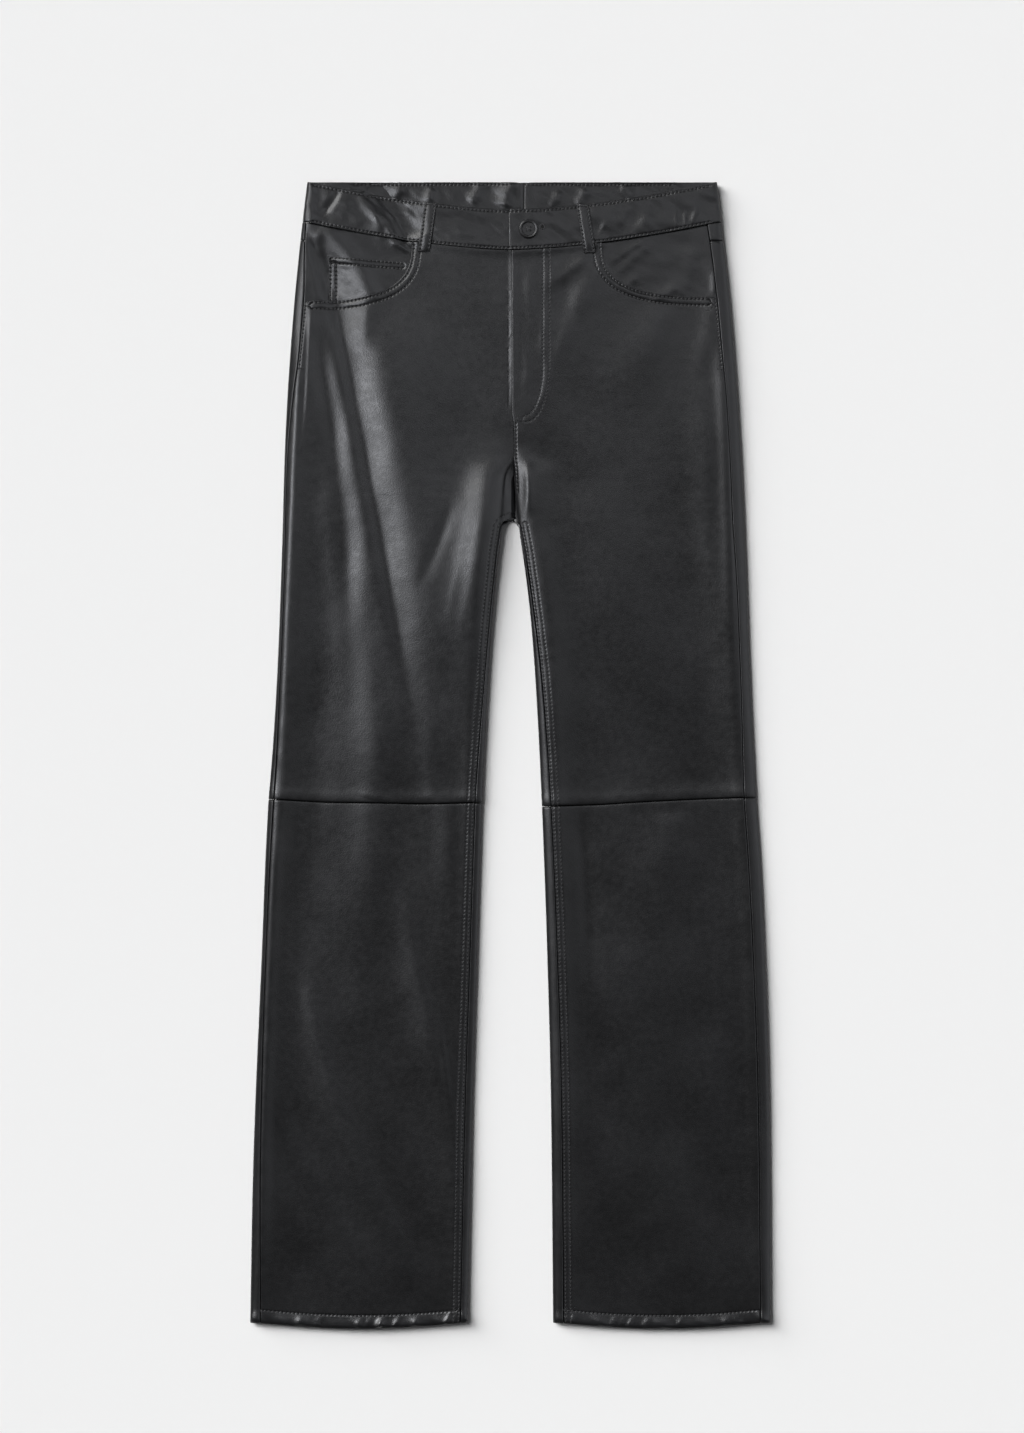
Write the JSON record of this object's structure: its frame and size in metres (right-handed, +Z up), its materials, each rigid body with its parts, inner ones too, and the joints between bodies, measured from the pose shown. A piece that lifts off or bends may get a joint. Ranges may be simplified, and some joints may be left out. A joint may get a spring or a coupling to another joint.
{
  "type": "leather trousers",
  "caption": "Straight-leg leather trousers laid flat, with scoop pockets, coin pocket, buttoned waistband, belt loops and knee seams.",
  "frame": {"origin": "middle of the box's bottom face, on the surface that the trousers lie on", "axes": "+Y from the hems to the waist, +X towards the wearer's left, +Z up out of the front"},
  "size_m": [0.4902, 1.0782, 0.0131],
  "materials": {
    "leather": "smooth black leather with a soft sheen",
    "button": "black, satin",
    "zip": "black tape and coil"
  },
  "bodies": {
    "root": {"front_upper_right": "leather", "front_lower_right": "leather", "back_upper_right": "leather", "back_lower_right": "leather", "back_yoke_right": "leather", "waistband_right": "leather", "pocket_facing_right": "leather", "belt_loop_front_right": "leather", "front_upper_left": "leather", "front_lower_left": "leather", "back_upper_left": "leather", "back_lower_left": "leather", "back_yoke_left": "leather", "waistband_left": "leather", "pocket_facing_left": "leather", "belt_loop_front_left": "leather", "coin_pocket": "leather", "belt_loop_back_right": "leather", "belt_loop_back_centre": "leather", "belt_loop_back_left": "leather", "fly_zip": "zip", "button": "button"}
  },
  "joints": []
}
